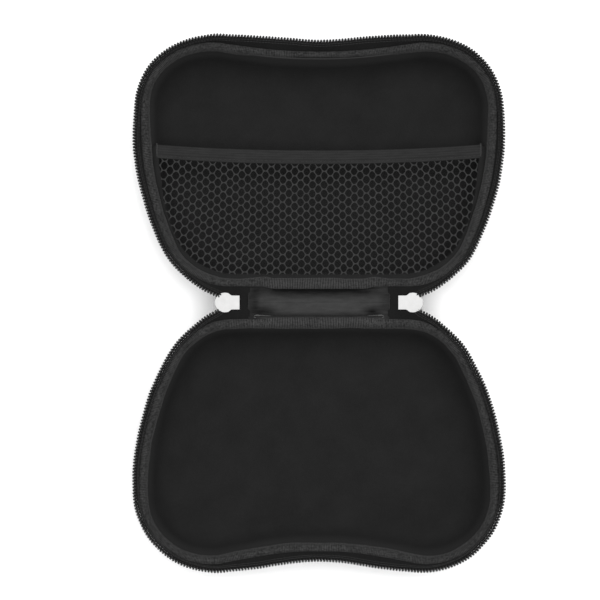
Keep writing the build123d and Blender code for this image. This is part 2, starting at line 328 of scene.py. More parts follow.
class Material:
    """A procedural material on one Principled shader, with short calls for the usual nodes."""

    def __init__(self, name, rough, sheen=0.0, sheen_rough=0.5, specular=0.5):
        self.material = bpy.data.materials.new(name)
        self.material.use_nodes = True
        self.tree = self.material.node_tree
        self.shader = self.tree.nodes["Principled BSDF"]
        self.fill(self.shader, {"Roughness": rough, "Sheen Weight": sheen, "Sheen Roughness": sheen_rough,
                                "Specular IOR Level": specular})

    def fill(self, node, sockets):
        """Set a node's sockets: plain numbers directly, other nodes' outputs by a link."""
        for key, value in sockets.items():
            if isinstance(value, (int, float)):
                node.inputs[key].default_value = value
            else:
                self.link(value, node.inputs[key])

    def node(self, kind, sockets=None, **settings):
        made = self.tree.nodes.new("ShaderNode" + kind)
        for key, value in settings.items():
            setattr(made, key, value)
        self.fill(made, sockets or {})
        return made

    def link(self, source, target):
        self.tree.links.new(source, target)

    def math(self, operation, *values):
        return self.node("Math", dict(enumerate(values)), operation=operation).outputs[0]

    def place(self):
        return self.node("TexCoord").outputs["Object"]

    def cloth(self):
        """u along the cloth and v across it, in metres."""
        return self.cloth_parts()[:2]

    def cloth_parts(self):
        """u, v and the third value that the mesh gives each point."""
        stored = self.node("Attribute", attribute_name="cloth").outputs["Vector"]
        return self.node("SeparateXYZ", {0: stored}).outputs[:3]

    def noise(self, size, detail=3.0, rough=0.5, place=None):
        return self.node("TexNoise", {"Vector": place or self.place(), "Scale": 1 / size, "Detail": detail,
                                      "Roughness": rough}).outputs["Fac"]

    def cells(self, size):
        return self.node("TexVoronoi", {"Vector": self.place(), "Scale": 1 / size}).outputs["Distance"]

    def wave(self, along, pitch):
        return self.math("SINE", self.math("MULTIPLY", along, 2 * pi / pitch))

    def ridges(self, along, pitch):
        """Round ridges with sharp grooves between, a whole pitch for every two."""
        return self.math("ABSOLUTE", self.wave(along, pitch))

    def range(self, value, low, high, to_low, to_high):
        return self.node("MapRange", {"Value": value, "From Min": low, "From Max": high, "To Min": to_low,
                                      "To Max": to_high}).outputs["Result"]

    def sum(self, terms):
        """Weighted sum of (weight, value) terms; a single value stays as it is."""
        if not isinstance(terms, list):
            return terms
        parts = [self.math("MULTIPLY", value, weight) for weight, value in terms]
        return reduce(lambda total, part: self.math("ADD", total, part), parts)

    def grey(self, terms, low, high, from_low=0.3, from_high=0.7, tint=(1.0, 1.0, 1.0)):
        """Base colour between two greys, by a value or a weighted sum."""
        ramp = self.node("ValToRGB", {"Fac": self.sum(terms)})
        for stop, at, level in zip(ramp.color_ramp.elements, (from_low, from_high), (low, high)):
            stop.position = at
            stop.color = (*(level * part for part in tint), 1)
        self.link(ramp.outputs["Color"], self.shader.inputs["Base Color"])

    def finish(self, heights, distance, rough_by, smoothest, roughest):
        """The material, with its bump and with its roughness between two values."""
        bump = self.node("Bump", {"Height": self.sum(heights), "Distance": distance, "Strength": 1.0})
        self.fill(self.shader, {"Normal": bump.outputs["Normal"],
                                "Roughness": self.range(rough_by, 0.0, 1.0, smoothest, roughest)})
        return self.material


def plain_weave(m, u, v, pitch):
    """Height of a plain weave: warp and weft humps in turn."""
    both = m.math("MULTIPLY", m.wave(u, 2 * pitch), m.wave(v, 2 * pitch))
    threads = m.math("MULTIPLY", m.ridges(u, 2 * pitch), m.ridges(v, 2 * pitch))
    return m.sum([(0.35, both), (0.65, threads)])


def shell_fabric():
    """Woven polyester laminated to the outside of the moulded foam."""
    m = Material("shell_fabric", 0.75, sheen=0.08, sheen_rough=0.4, specular=0.2)
    u, v = m.cloth()
    weave = plain_weave(m, u, v, 0.55 * MM)
    clouds = m.noise(9 * MM, detail=4)
    fuzz = m.noise(0.25 * MM, detail=2)
    m.grey([(0.45, clouds), (0.35, fuzz), (0.2, weave)], 0.006, 0.015, 0.25, 0.75)
    return m.finish([(1.0, weave), (0.25, fuzz), (0.6, clouds)], 0.13 * MM, fuzz, 0.62, 0.86)


def lining_fabric():
    """Short-pile knitted lining pressed into the mould, with painted light on its walls near the rim."""
    m = Material("inner_lining", 0.92, sheen=0.015, sheen_rough=0.6, specular=0.0)
    pile = m.noise(0.22 * MM, detail=3, rough=0.7)
    nap = m.noise(14 * MM, detail=5, rough=0.6)
    knit = m.cells(0.5 * MM)
    # The mesh's third cloth value is painted light up the walls, strongest near the rim.
    painted_wall_light = m.cloth_parts()[2]
    m.grey([(0.25, nap), (0.175, pile), (0.075, knit), (0.45, painted_wall_light)], 0.0063, 0.0291, 0.05, 1.0)
    return m.finish([(0.7, pile), (0.3, knit)], 0.12 * MM, pile, 0.8, 1.0)


def binding_fabric():
    """Grosgrain: ribs across its width, each a packed bundle of fine thread, with painted shade in the
    grooves between them, painted shade down its inner leg and painted light on its outer top.
    """
    m = Material("rib_binding", 0.85, sheen=0.06, sheen_rough=0.5, specular=0.03)
    u, v, rib_shade_strength = m.cloth_parts()
    # Painted shade in the grooves between the ribs, lighter on the rib tops; its strength comes from the
    # mesh's third cloth value.
    rib_groove_shade = m.math("SUBTRACT", m.ridges(u, 2 * RIB_PITCH), 0.62)
    rib_groove_shade = m.math("MULTIPLY", rib_groove_shade, rib_shade_strength)
    thread = m.ridges(v, 0.5 * MM)
    fuzz = m.noise(0.35 * MM, detail=3, rough=0.7)
    mottle = m.noise(1.0 * MM, detail=4, rough=0.7)
    clouds = m.noise(4 * MM, detail=4)
    # Painted shade down the inner leg, where the binding turns down into the case.
    inner_leg_shade = m.range(v, 3.4 * MM, 6.2 * MM, 0.0, -0.2)
    # Painted light on the binding's outer top, which faces the lamp; less of it by the hinge, where the rib
    # shade is strongest.
    outer_top_light = m.math("MULTIPLY", m.range(v, 1.4 * MM, 6.0 * MM, 0.29, 0.0), m.math("SUBTRACT", 1.0, rib_shade_strength))
    m.grey([(1.0, rib_groove_shade), (0.25, clouds), (1.1, mottle), (0.3, fuzz), (0.06, thread), (1.0, inner_leg_shade),
            (1.0, outer_top_light)], 0.006, 0.047, 0.45, 1.0)
    return m.finish([(0.35, thread), (0.5, fuzz)], 0.07 * MM, fuzz, 0.72, 0.95)


def tape_fabric():
    """Zip tape: a fine herringbone weave."""
    m = Material("zip_tape", 0.85, sheen=0.02, sheen_rough=0.5, specular=0.02)
    u, v = m.cloth()
    fold = m.math("PINGPONG", v, 1.1 * MM)
    twill = m.wave(m.math("ADD", u, fold), 0.62 * MM)
    cross = m.wave(v, 0.45 * MM)
    fuzz = m.noise(0.3 * MM, detail=2)
    rows = m.math("ABSOLUTE", twill)
    m.grey([(0.4, fuzz), (0.3, m.noise(6 * MM)), (0.3, rows)], 0.0046, 0.0116, 0.2, 0.8)
    return m.finish([(0.7, twill), (0.3, cross), (0.3, fuzz)], 0.09 * MM, fuzz, 0.7, 0.92)


def coil_plastic():
    """Nylon monofilament of the coil."""
    m = Material("zip_coil", 0.5, specular=0.06)
    draw = m.noise(0.5 * MM, detail=2)
    m.grey(draw, 0.018, 0.04)
    return m.finish(draw, 0.02 * MM, draw, 0.45, 0.62)


def thread_material(name, low, high):
    """Twisted polyester sewing thread."""
    m = Material(name, 0.65, sheen=0.12, specular=0.25)
    twist = m.noise(0.2 * MM, detail=2)
    m.grey(twist, low, high)
    return m.finish(twist, 0.05 * MM, twist, 0.5, 0.8)


def velvet_fabric():
    """Brushed lining of the spine, with painted shade that darkens it the lower it lies, down in its folds
    and at its pinched ends.
    """
    m = Material("spine_velvet", 0.9, sheen=0.05, sheen_rough=0.5, specular=0.02)
    u, v, depth = m.cloth_parts()
    pile = m.noise(0.25 * MM, detail=3, rough=0.7)
    nap = m.noise(6 * MM, detail=4, rough=0.6)
    brushed = m.noise(1.0, detail=3, rough=0.6, place=brushed_place(m, u, v))
    shade = m.sum([(0.3, nap), (0.3, pile), (0.5, brushed)])
    # Painted shade from the mesh's third cloth value: the lower the lining lies, the darker.
    painted_fold_shade = m.range(depth, 0.0, 1.0, 0.0, 0.56)
    m.grey(m.math("SUBTRACT", shade, painted_fold_shade), 0.0045, 0.0355, 0.0, 0.68)
    return m.finish(pile, 0.12 * MM, pile, 0.82, 1.0)


def brushed_place(m, u, v):
    """Texture space drawn out along u, for a nap brushed that way."""
    return m.node("CombineXYZ", {0: m.math("MULTIPLY", u, 1 / (9 * MM)),
                                 1: m.math("MULTIPLY", v, 1 / (1.3 * MM))}).outputs[0]


def mesh_fabric():
    """Knitted net: twisted fine yarn."""
    m = Material("pocket_mesh", 0.8, sheen=0.04, sheen_rough=0.4, specular=0.08)
    yarn = m.noise(0.18 * MM, detail=3, rough=0.7)
    clouds = m.noise(8 * MM)
    m.grey([(0.6, yarn), (0.4, clouds)], 0.0165, 0.033, 0.28, 0.72)
    return m.finish(yarn, 0.1 * MM, yarn, 0.6, 0.85)


def trim_fabric():
    """Fine knitted tape along the net's edge."""
    m = Material("pocket_trim", 0.85, sheen=0.03, specular=0.03)
    u, v = m.cloth()
    knit = plain_weave(m, u, v, 0.3 * MM)
    fuzz = m.noise(0.3 * MM, detail=3)
    m.grey([(0.5, fuzz), (0.3, m.noise(6 * MM)), (0.2, knit)], 0.0088, 0.0168, 0.25, 0.75)
    return m.finish([(0.8, knit), (0.3, fuzz)], 0.07 * MM, fuzz, 0.7, 0.9)


def elastic_fabric():
    """Woven elastic in the pocket's hem: fine ribs along it, crossed by the covering yarn."""
    m = Material("pocket_elastic", 0.85, sheen=0.03, specular=0.03)
    u, v = m.cloth()
    ribs = m.ridges(v, 2.2 * MM)
    yarn = m.ridges(u, 0.7 * MM)
    fuzz = m.noise(0.3 * MM, detail=3)
    streak = m.noise(1.0, detail=3, rough=0.6, place=brushed_place(m, u, v))
    clouds = m.noise(7 * MM)
    m.grey([(0.3, fuzz), (0.45, streak), (0.15, clouds), (0.12, ribs)], 0.0085, 0.0265, 0.2, 0.8)
    return m.finish([(0.8, ribs), (0.3, yarn), (0.3, fuzz)], 0.12 * MM, fuzz, 0.68, 0.9)


def white_enamel():
    """White paint on the cast sliders and pulls, a little uneven."""
    m = Material("white_metal", 0.5, specular=0.2)
    flow = m.noise(2.2 * MM, detail=3)
    grain = m.noise(0.15 * MM, detail=2)
    m.grey([(0.7, flow), (0.3, grain)], 0.41, 0.48, 0.2, 0.8, tint=(1.0, 1.0, 0.995))
    return m.finish([(1.0, flow), (0.15, grain)], 0.05 * MM, grain, 0.42, 0.58)


SHELL_FABRIC, LINING_FABRIC, BINDING_FABRIC = shell_fabric(), lining_fabric(), binding_fabric()
TAPE_FABRIC, COIL_PLASTIC = tape_fabric(), coil_plastic()
THREAD, PALE_THREAD = thread_material("thread", 0.008, 0.02), thread_material("pale_thread", 0.025, 0.07)
SEAM_THREAD = thread_material("seam_thread", 0.014, 0.034)
ZIP_THREAD = thread_material("zip_thread", 0.0045, 0.0115)
VELVET, NET_YARN, TRIM_FABRIC, ELASTIC = velvet_fabric(), mesh_fabric(), trim_fabric(), elastic_fabric()
ENAMEL = white_enamel()


# ---- moulded shells and linings


WALL_POINTS, BEND_POINTS, FLOOR_POINTS = 14, 10, 4
FLOOR_REACH = -19 * MM                          # how far in from the rim the rings of points go
LINING_DEPTH, LINING_THICK = 3.2 * MM, 0.5 * MM
PAINTED_WALL_LIGHT = {LID: 1.8, BASE: 1.35}          # strength of the painted light on the lining's wall near the rim, in each half


def mould_path(depth):
    """Section of a moulded skin, `depth` inside the mould: (out, high) from the rim to the flat floor."""
    flat = 1 / cos(DRAFT)
    wall_top, foot_out = -depth * flat, -(RIM_Z - depth) * tan(DRAFT) - depth * flat
    radius = max(BOTTOM_RADIUS - depth, MM)
    reach = radius * tan((pi / 2 - DRAFT) / 2)
    top, foot = np.array([wall_top, RIM_Z]), np.array([foot_out, depth])
    up_wall = (top - foot) / np.linalg.norm(top - foot)
    start, end = foot + up_wall * reach, foot + np.array([-reach, 0])
    centre = np.array([end[0], depth + radius])
    wall = [top + (start - top) * t for t in np.linspace(0, 1, WALL_POINTS, endpoint=False)]
    turn = np.linspace(atan2(*(start - centre)[::-1]), -pi / 2, BEND_POINTS)
    bend = [centre + radius * np.array([cos(a), sin(a)]) for a in turn]
    floor = [np.array([x, depth]) for x in np.linspace(end[0], FLOOR_REACH, FLOOR_POINTS + 1)[1:]]
    return np.array([*wall, *bend, *floor])


def mould_cloth(side, s, path):
    """Cloth pulled over the mould: x and y on the floor, carried on up the wall, and painted light strongest
    near the rim.
    """
    steps = np.linalg.norm(np.diff(path, axis=0), axis=1)
    across = np.concatenate([[0], np.cumsum(steps)])
    foot = len(path) - FLOOR_POINTS - 1
    out = np.where(np.arange(len(path)) < foot, path[foot, 0] + across[foot] - across, path[:, 0])
    out = np.tile(out, (len(s), 1))
    flat = place(side, s, out, out)
    # Third value: painted light on the wall, full within 7 mm of the rim and gone 31 mm below it.
    flat[:, :, 2] = (1 - ease(RIM_Z - path[:, 1], 7 * MM, 31 * MM)) * PAINTED_WALL_LIGHT[side]
    return flat


def mould_skin(name, side, depth, thick, material, unevenness, seed):
    """A skin of one half, with the whole floor, as a closed sheet."""
    s = np.linspace(0, FULL_LENGTH, 400, endpoint=False)
    path = mould_path(depth)
    count = len(path)
    out, high = np.tile(path[:, 0], (len(s), 1)), np.tile(path[:, 1], (len(s), 1))
    fade = np.sin(np.linspace(0, pi, count))[None, :]
    swell = sum(ripple(s + 40 * MM * k, [(9, 0.5), (17, 0.3), (31, 0.2)], seed + k)[:, None]
                * np.exp(-((np.linspace(0, 1, count) - k / 4) * 5) ** 2)[None, :] for k in range(5))
    out = out + unevenness * swell * fade
    points = place(side, s, out, high)
    cloth = mould_cloth(side, s, path)
    faces = grid_faces(len(s), count, close_rows=True, flip=side == LID)
    inner = [i * count + count - 1 for i in range(len(s))]
    faces.append(inner if side == LID else inner[::-1])
    return thicken(new_mesh(name, points, faces, material, cloth), thick, even=True)


def make_skins(side):
    half = HALF_NAME[side]
    shell = mould_skin(half + "_shell_laminate", side, SHELL_THICK / 2, SHELL_THICK, SHELL_FABRIC,
                       0.12 * MM, 3)
    fit(shell, "shell_fabric", half, half + "_shell")
    lining = mould_skin(half + "_lining_cloth", side, LINING_DEPTH, LINING_THICK, LINING_FABRIC,
                        0.15 * MM, 11)
    fit(lining, "inner_lining", half, half + "_lining")


# ---- rim binding

BINDING_THICK = 0.72 * MM
RIB_HEIGHT = 0.13 * MM
STATIONS_PER_RIB = 4
# Mid line of the binding's section: out from the rim, up from the top of the wall, in millimetres.
BINDING_LINE = [(-0.28, 0.75), (-0.48, 1.12), (-1.1, 1.5), (-1.9, 1.62), (-2.7, 1.38), (-3.3, 0.85),
                (-3.72, -0.05), (-4.0, -1.3), (-4.2, -2.6)]


def binding_shape(side, s):
    """How far the binding's outer edge moves outwards and its inner edge inwards, in metres."""
    d = from_back(s)
    middle = 1 - ease(d, 21 * MM, 29 * MM)
    waist = ease(d, HALF_LENGTH - 48 * MM, HALF_LENGTH - 26 * MM)
    lobe = hump(s, HALF_LENGTH - 58 * MM, 22 * MM)
    if side == LID:
        outwards = 1.3 * MM * middle
        inwards = -0.75 * MM * middle + 0.35 * MM * hump(s, 26 * MM, 3 * MM)
        inwards = inwards - 1.0 * MM * hump(s, 40 * MM, 9 * MM) - 1.1 * MM * waist
        inwards = inwards - 0.2 * MM * hump(s, 108 * MM, 26 * MM) - 0.3 * MM * lobe
        wobble_seed = 22
    else:
        outwards = 0.75 * MM * middle
        inwards = -0.1 * MM * middle - 0.35 * MM * waist - 0.6 * MM * lobe
        wobble_seed = 20
    wobble = ripple(s, [(5, 0.14), (11, 0.1), (23, 0.07), (41, 0.04)], wobble_seed) * MM
    return outwards, inwards + wobble


def make_binding(side):
    half = HALF_NAME[side]
    ribs = int(round(FULL_LENGTH / RIB_PITCH))
    s = np.linspace(0, FULL_LENGTH, ribs * STATIONS_PER_RIB, endpoint=False)
    line = smooth_path(BINDING_LINE, 2) * MM
    share = np.clip((-line[:, 0] - 0.28 * MM) / (3.5 * MM), 0, 1)
    outwards, inwards = binding_shape(side, s)
    out = line[None, :, 0] + outwards[:, None] * (1 - share) - inwards[:, None] * share
    high = np.tile(RIM_Z + line[:, 1], (len(s), 1))
    crown = np.sin(pi * share)
    high = high + crown * ripple(s, [(7, 0.1), (19, 0.07), (37, 0.05)], 31 + side)[:, None] * MM
    across = np.linspace(0, 1, len(line))[None, :]
    phase = s[:, None] / RIB_PITCH + 0.22 * np.sin(across * 3 + ripple(s, [(13, 1.5)], 5)[:, None])
    lift = RIB_HEIGHT * np.abs(np.sin(pi * phase)) ** 0.8
    lift *= 1 + 0.35 * ripple(s, [(61, 0.5), (97, 0.5)], 8)[:, None]
    middle_out, middle_high = thick_section(out, high, 0.0)
    loop_out, loop_high = thick_section(out, high, BINDING_THICK)
    both = np.concatenate([lift, lift[:, ::-1]], 1) * 2 / BINDING_THICK
    loop_out = loop_out + both * (loop_out - middle_out)
    loop_high = loop_high + both * (loop_high - middle_high)
    # Strength of the painted shade in the rib grooves: strongest by the hinge, weaker round the sides.
    rib_shade_strength = 0.3 + 0.7 * (1 - ease(from_back(s), 20 * MM, 34 * MM))
    rib_shade_strength = rib_shade_strength + 0.25 * ripple(s, [(9, 0.5), (23, 0.5)], 77 + side)
    piece = ring_piece(half + "_binding_grosgrain", side, s, loop_out, loop_high, BINDING_FABRIC,
                       along=np.concatenate([phase, phase[:, ::-1]], 1) * RIB_PITCH,
                       depth=np.clip(rib_shade_strength, 0, 1)[:, None])
    fit(piece, "rib_binding", half, half + "_rim_binding")


# ---- zip tape and coil

ZIP_START = SPINE_HALF_LENGTH - 0.6 * MM        # along the back edge from its middle
TAPE_THICK = 0.5 * MM
COIL_PITCH = 1.48 * MM
COIL_WIDTH = 3.4 * MM
WIRE = 0.37 * MM
HEAD_PAST_TAPE = 1.2 * MM
SEAM_ALLOWANCE = 3.0 * MM        # how far the tape goes in under the binding
CORD_RADIUS, CORD_LIFT = 0.47 * MM, 0.75 * MM
POINTS_PER_LOOP = 18
# The zip lies flat beside the slider and stands up round the back corner. By degrees round that corner:
FLAT_LEAN = [(-12, 0.0), (1, 0.0), (4, 7.0), (8, 26.0), (12, 47.0)]
# How far the coil's heads reach out from the rim, by share of the way round, in millimetres.
REACH = {
    LID: [(0.13, 8.3), (0.17, 8.2), (0.188, 5.7), (0.21, 4.6), (0.235, 3.2), (0.26, 2.4), (0.31, 2.5),
          (0.36, 3.1), (0.44, 3.9), (0.5, 4.2), (0.54, 3.9), (0.59, 2.7), (0.64, 2.35), (0.73, 2.6),
          (0.78, 3.1), (0.82, 4.3), (0.85, 5.4), (0.9, 6.4), (0.95, 6.3), (1.0, 5.7)],
    BASE: [(0.13, 8.3), (0.17, 8.2), (0.188, 5.6), (0.21, 4.4), (0.235, 2.9), (0.26, 2.35), (0.31, 2.35),
           (0.38, 2.65), (0.5, 2.85), (0.58, 2.6), (0.63, 2.0), (0.68, 1.85), (0.73, 2.6), (0.78, 3.3),
           (0.82, 4.2), (0.85, 5.1), (0.89, 5.9), (0.93, 5.7), (1.0, 4.6)],
}
BISECTIONS = 30
ZIP_STEP, COIL_STEP = 0.25 * MM, 0.1 * MM


def coil_reach(side, s):
    """Distance out from the rim to the coil's heads, seen from above."""
    share, reach = zip(*REACH[side])
    wobble = ripple(s, [(6, 0.08), (13, 0.08), (29, 0.05)], 41 + side) * MM
    share_here = from_back(s) / HALF_LENGTH
    return np.interp(share_here, share, np.array(reach) * MM) + wobble * ease(share_here, 0.25, 0.3)


def arc_point(lean, curl, length, t):
    """Out, up and angle at t along a tape that leans, and curls outwards, by these angles."""
    curl = np.maximum(curl, 0.01)
    first, here = lean + curl, lean + curl * (1 - 2 * t / length)
    scale = length / (2 * curl)
    return scale * (np.sin(first) - np.sin(here)), scale * (np.cos(here) - np.cos(first)), here


def reach_of(lean, curl, length):
    """How far out the coil comes on a tape of this lean, curl and length."""
    out, _, angle = arc_point(lean, curl, length, length - COIL_WIDTH / 2)
    body = np.hypot(COIL_WIDTH / 2 * np.cos(angle), COIL_THICK / 2 * np.sin(angle))
    return out + (TAPE_THICK + COIL_THICK) / 2 * np.sin(angle) + body


def halve(test, low, high):
    """Solve by bisection at every station: test is true where the answer is above the guess."""
    for _ in range(BISECTIONS):
        guess = (low + high) / 2
        above = test(guess)
        low, high = np.where(above, guess, low), np.where(above, high, guess)
    return (low + high) / 2


def smoothed(values, reach):
    """A running mean that keeps the ends."""
    kernel = np.hanning(2 * reach + 3)[1:-1]
    kernel /= kernel.sum()
    padded = np.concatenate([np.full(reach, values[0]), values, np.full(reach, values[-1])])
    return np.convolve(padded, kernel, mode="valid")


def zip_profile(side):
    """Lean, curl and length of the zip's section, on a fine grid from its start to its end."""
    s = np.arange(ZIP_START - ZIP_STEP, FULL_LENGTH - ZIP_START + ZIP_STEP, ZIP_STEP)
    reach = smoothed(coil_reach(side, s), 8)
    corner = np.degrees((from_back(s) - BACK_LENGTH) / BENDS[0][0])
    angle, flat_lean = zip(*FLAT_LEAN)
    near = corner < angle[-1]
    share = from_back(s) / HALF_LENGTH
    length = np.interp(corner, [12, 26, 45, 64], [5.6, 6.0, 6.6, 6.9]) * MM
    length = length + 0.9 * MM * ease(share, 0.78, 0.9)
    curl = radians(24.0) * ease(corner, 4, 30)
    lean = halve(lambda guess: reach_of(guess, curl, length) > reach, np.full(len(s), radians(20)),
                 np.full(len(s), radians(125)))
    lean = np.where(near, np.radians(np.interp(corner, angle, flat_lean)), lean)
    solved = halve(lambda guess: reach_of(lean, curl, guess) < reach, np.full(len(s), 3 * MM),
                   np.full(len(s), 12 * MM))
    length = np.where(near, solved, length)
    return s, smoothed(lean, 6), smoothed(curl, 6), smoothed(length, 6)


ZIP_PROFILE = {side: zip_profile(side) for side in (BASE, LID)}


def zip_values(side, s):
    grid, *columns = ZIP_PROFILE[side]
    return [np.interp(s, grid, column) for column in columns]


def zip_points(side, s, back, lift=0.0):
    """Points on the zip, `back` from its heads and `lift` off its mid face to the outside."""
    lean, curl, length = zip_values(side, s)
    out, high, angle = arc_point(lean, curl, length, length - back)
    out, high = out + lift * np.sin(angle), TAPE_Z + high - lift * np.cos(angle)
    return place(side, s, out[:, None], high[:, None])[:, 0]


def zip_stations(step):
    count = int((FULL_LENGTH - 2 * ZIP_START) / step)
    return np.linspace(ZIP_START, FULL_LENGTH - ZIP_START, count)


def make_tape(side):
    half = HALF_NAME[side]
    s = zip_stations(0.8 * MM)
    lean, curl, length = zip_values(side, s)
    out = [np.full(len(s), inside) for inside in np.linspace(-SEAM_ALLOWANCE, -0.4 * MM, 4)]
    high = [np.full(len(s), TAPE_Z)] * len(out)
    for share in np.linspace(0, 1, 14):
        here_out, here_high, _ = arc_point(lean, curl, length, share * (length - HEAD_PAST_TAPE))
        out.append(here_out + 0.15 * MM * (share == 0))
        high.append(TAPE_Z + here_high)
    loop_out, loop_high = thick_section(np.stack(out, 1), np.stack(high, 1), TAPE_THICK)
    piece = ring_piece(half + "_zip_tape_cloth", side, s, loop_out, loop_high, TAPE_FABRIC, closed_ring=False)
    ends = [f"{end}_zip_end_tape_{half}" for end in ("left", "right")]
    fit(piece, "zip_tape", side, half + "_zip_tape", *ends)


def make_coil(side):
    """The coil itself: one wire wound round and round along the tape's edge."""
    half = HALF_NAME[side]
    fine = zip_stations(COIL_STEP)
    lift = (TAPE_THICK + COIL_THICK) / 2
    centre = zip_points(side, fine, COIL_WIDTH / 2, lift)
    length = np.concatenate([[0], np.cumsum(np.linalg.norm(np.diff(centre, axis=0), axis=1))])
    loops = int(length[-1] / COIL_PITCH)
    turn = np.arange(loops * POINTS_PER_LOOP) / POINTS_PER_LOOP
    at = np.interp((turn + (0.5 if side == BASE else 0.0)) * length[-1] / (loops + 0.5), length, fine)
    angle = 2 * pi * turn
    wide = np.sign(np.cos(angle)) * np.abs(np.cos(angle)) ** 0.75 * (COIL_WIDTH / 2 - WIRE)
    tall = np.sign(np.sin(angle)) * np.abs(np.sin(angle)) ** 0.75 * (COIL_THICK / 2 - WIRE)
    path = zip_points(side, at, COIL_WIDTH / 2 - wide, lift + tall)
    head = np.clip(np.cos(angle), 0, 1) ** 6
    coil = Bundle()
    coil.add_tube(path, WIRE * (1 + 0.3 * head), 7, up=(0.05, 0.02, 1))
    piece = coil.piece(half + "_zip_coil_wire", COIL_PLASTIC)
    ends = [f"{end}_zip_end_coil_{half}" for end in ("left", "right")]
    fit(piece, "zip_coil", side, half + "_zip_coil", *ends)


def make_coil_cord(side):
    """The filler cord that runs inside the coil."""
    cord = Bundle()
    centre = zip_points(side, zip_stations(COIL_STEP)[::6], COIL_WIDTH / 2, TAPE_THICK / 2 + CORD_LIFT)
    cord.add_tube(centre, CORD_RADIUS, 6)
    fit(cord.piece(HALF_NAME[side] + "_zip_coil_filler", TAPE_FABRIC), "zip_tape", side)


def make_coil_stitches(side):
    """Two rows of sewing on the tape's inner face that hold the coil."""
    rows = Bundle()
    s = zip_stations(COIL_PITCH)[1:-1]
    s = s[from_back(s) > SLIDER_BOX[0].x + 1.5 * MM]
    for back in (1.75 * MM, 2.85 * MM):
        ends = [zip_points(side, s + along * MM, back, -TAPE_THICK / 2 - rise * MM)
                for along, rise in ((-0.62, -0.12), (-0.35, 0.07), (0.35, 0.07), (0.62, -0.12))]
        for line in np.stack(ends, 1):
            rows.add_tube(line, 0.14 * MM, 5)
    fit(rows.piece(HALF_NAME[side] + "_zip_stitches", ZIP_THREAD), "thread", side)


# ---- stitches through the rim


def make_rim_stitches(side):
    """One row of lock stitch round the outside of the wall, just under the rim."""
    rows = Bundle()
    pitch, down = 3.0 * MM, 2.6 * MM
    arch = np.array([-0.25, 0.12, 0.18, 0.18, 0.12, -0.25]) * MM
    out = (arch - down * tan(DRAFT))[:, None]
    for k in range(int(FULL_LENGTH / pitch)):
        s = (np.linspace(-0.42, 0.42, len(arch)) + k) * pitch
        rows.add_tube(place(side, s, out, np.full_like(out, RIM_Z - down))[:, 0], 0.2 * MM, 6)
    fit(rows.piece(HALF_NAME[side] + "_rim_stitches", THREAD), "thread", HALF_NAME[side])


for half_side in (BASE, LID):
    make_skins(half_side)
    make_binding(half_side)
    make_tape(half_side)
    make_coil(half_side)
    make_coil_cord(half_side)
    make_coil_stitches(half_side)
    make_rim_stitches(half_side)

# ---- spine

# Section of the spine's lining in its middle: across from the hinge line, up from the tape, in millimetres.
SPINE_MIDDLE = [(-9.0, 0.2), (-7.8, 0.0), (-7.0, -1.1), (-6.3, -1.9), (-5.6, -0.2), (-4.4, 1.1), (-2.6, 1.6),
                (-0.6, 1.65), (1.0, 1.25), (2.5, 0.2), (3.9, -1.3), (5.0, -2.3), (6.1, -2.6), (7.0, -1.9),
                (7.8, -0.6), (9.0, 0.2)]
# The same near its ends, where it is sewn down flat.
SPINE_END = [(-9.0, 0.2), (-7.8, 0.1), (-6.9, -0.7), (-5.8, -1.1), (-4.2, -0.9), (-2.8, -0.3), (-1.6, 0.5),
             (-0.2, 0.8), (1.4, 0.75), (2.8, 0.3), (4.2, -0.4), (5.4, -0.9), (6.6, -1.3), (7.4, -1.2),
             (8.0, -0.5), (9.0, 0.2)]
SPINE_TOP = 0.35 * MM
SPINE_HALF_WIDTH = 9.0 * MM
OUTER_SHARE, OUTER_DROP = 0.97, 0.62 * MM       # the outer cloth against the lining: its width, how far below
LEG_THICK = 0.9 * MM


def spine_lining_height(x, y):
    """Pillowed lining: full beside the base, falling into a deep fold beside the lid, pinched at its ends."""
    middle, end = (smooth_path(line, 6) * MM for line in (SPINE_MIDDLE, SPINE_END))
    share = ease(np.abs(x), 17 * MM, 27 * MM)
    high = np.interp(y, middle[:, 0], middle[:, 1]) * (1 - share) + np.interp(y, end[:, 0], end[:, 1]) * share
    tuck = np.exp(-((np.abs(x) - 25.5 * MM) / (4.5 * MM)) ** 2) * np.exp(-((y + 4.2 * MM) / (1.5 * MM)) ** 2)
    slack = 0.12 * MM * np.sin(x / (5.5 * MM) + 1.3) * np.exp(-((y + 1 * MM) / (3 * MM)) ** 2)
    slack = slack + 0.05 * MM * np.sin(x / (1.9 * MM)) * np.exp(-((y - 3 * MM) / (2 * MM)) ** 2)
    return TAPE_Z + SPINE_TOP + high - 1.1 * MM * tuck + slack


def spine_sheet(name, low, high, drop, material, thick, steps=80):
    """A strip across the spine from y low to y high, `drop` below the lining's face."""
    x = np.linspace(-SPINE_HALF_LENGTH, SPINE_HALF_LENGTH, 2 * steps + 1)
    y = np.linspace(low, high, 44)
    grid_x, grid_y = np.meshgrid(x, y, indexing="ij")
    high = spine_lining_height(grid_x, grid_y)
    points = np.stack([grid_x, grid_y, high - drop], 2)
    # Third cloth value: painted shade for the velvet, more the lower the sheet lies and at its pinched ends,
    # a little uneven near them.
    depth, ends = (TAPE_Z + 1.5 * MM - high) / (3.6 * MM), ease(np.abs(grid_x), 27.5 * MM, 31.5 * MM)
    uneven = 0.12 * ripple(grid_x * 6, [(5, 0.5), (9, 0.5)], 4) * ease(np.abs(grid_x), 15 * MM, 24 * MM)
    depth = np.clip(depth * (1 - ends) + 0.6 * ends + uneven, 0, 1)
    cloth = np.stack([grid_x, grid_y, depth], 2)
    piece = thicken(new_mesh(name, points, grid_faces(len(x), len(y)), material, cloth), thick, offset=-1.0)
    flat_width = np.linalg.norm(np.diff(points, axis=1), axis=2).sum(1).mean()
    return piece


